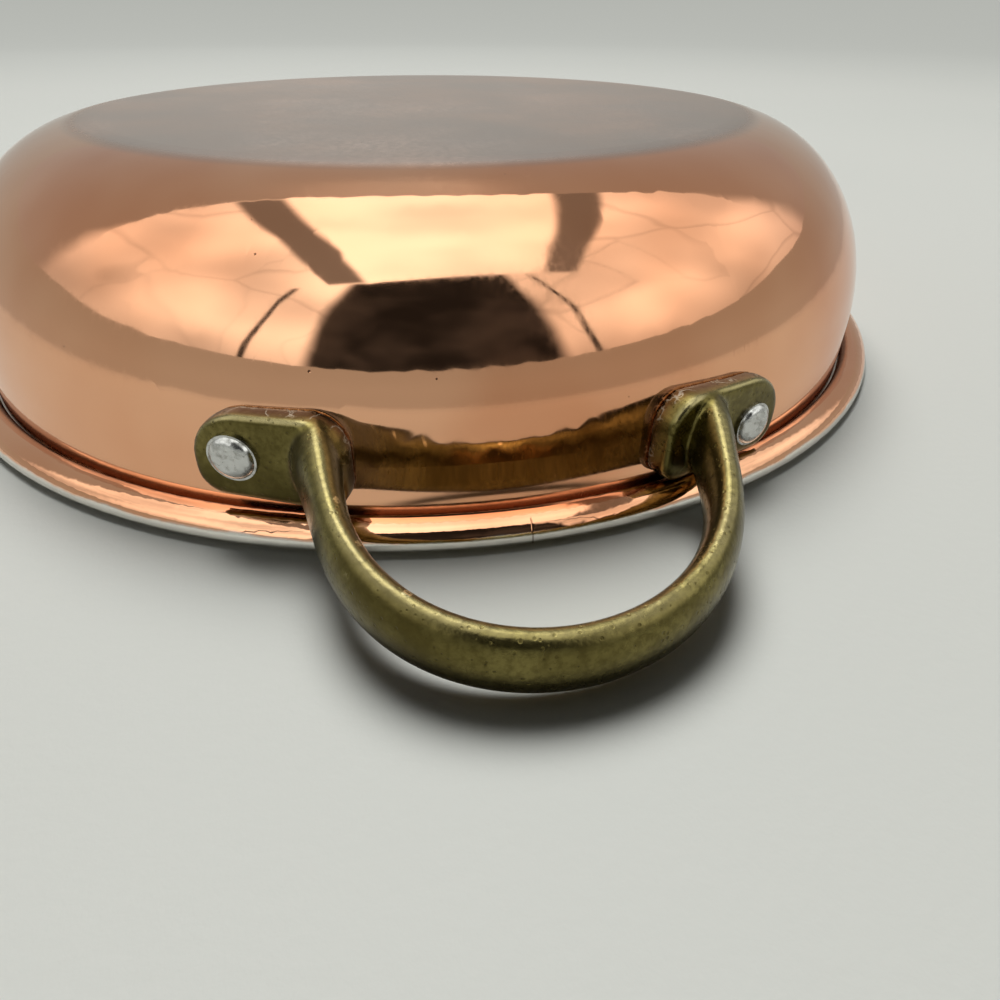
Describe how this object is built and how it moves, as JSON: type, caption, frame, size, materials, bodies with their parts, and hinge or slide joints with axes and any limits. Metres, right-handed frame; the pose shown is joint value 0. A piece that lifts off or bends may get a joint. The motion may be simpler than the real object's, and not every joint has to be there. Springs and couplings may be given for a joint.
{
  "type": "gratin dish",
  "caption": "Round copper gratin dish, tin lined, with cast brass loop handles riveted to its wall, lying bottom up on its rolled rim.",
  "frame": {"origin": "centre of the rim's underside, on the surface that the rim rests on, with the dish bottom up as pictured", "axes": "+Z from the rim plane up to the flat base; the handles stand out along -Y (front, as pictured) and +Y; a half turn about X brings the dish to the pose it is used in"},
  "size_m": [0.2576, 0.3272, 0.056],
  "materials": {
    "copper": "polished copper on the wall and rim, hazy brushed copper on the base",
    "tin": "wiped tin, soft satin sheen",
    "cast_brass": "cast brass with an olive brown patina, worn brighter along the edges",
    "rivet_metal": "bright drawn metal with a hammered crown"
  },
  "bodies": {
    "root": {"copper_body": "copper", "tin_lining": "tin", "handle_front": "cast_brass", "handle_back": "cast_brass", "rivet_front_left": "rivet_metal", "rivet_front_right": "rivet_metal", "rivet_back_left": "rivet_metal", "rivet_back_right": "rivet_metal"}
  },
  "joints": []
}
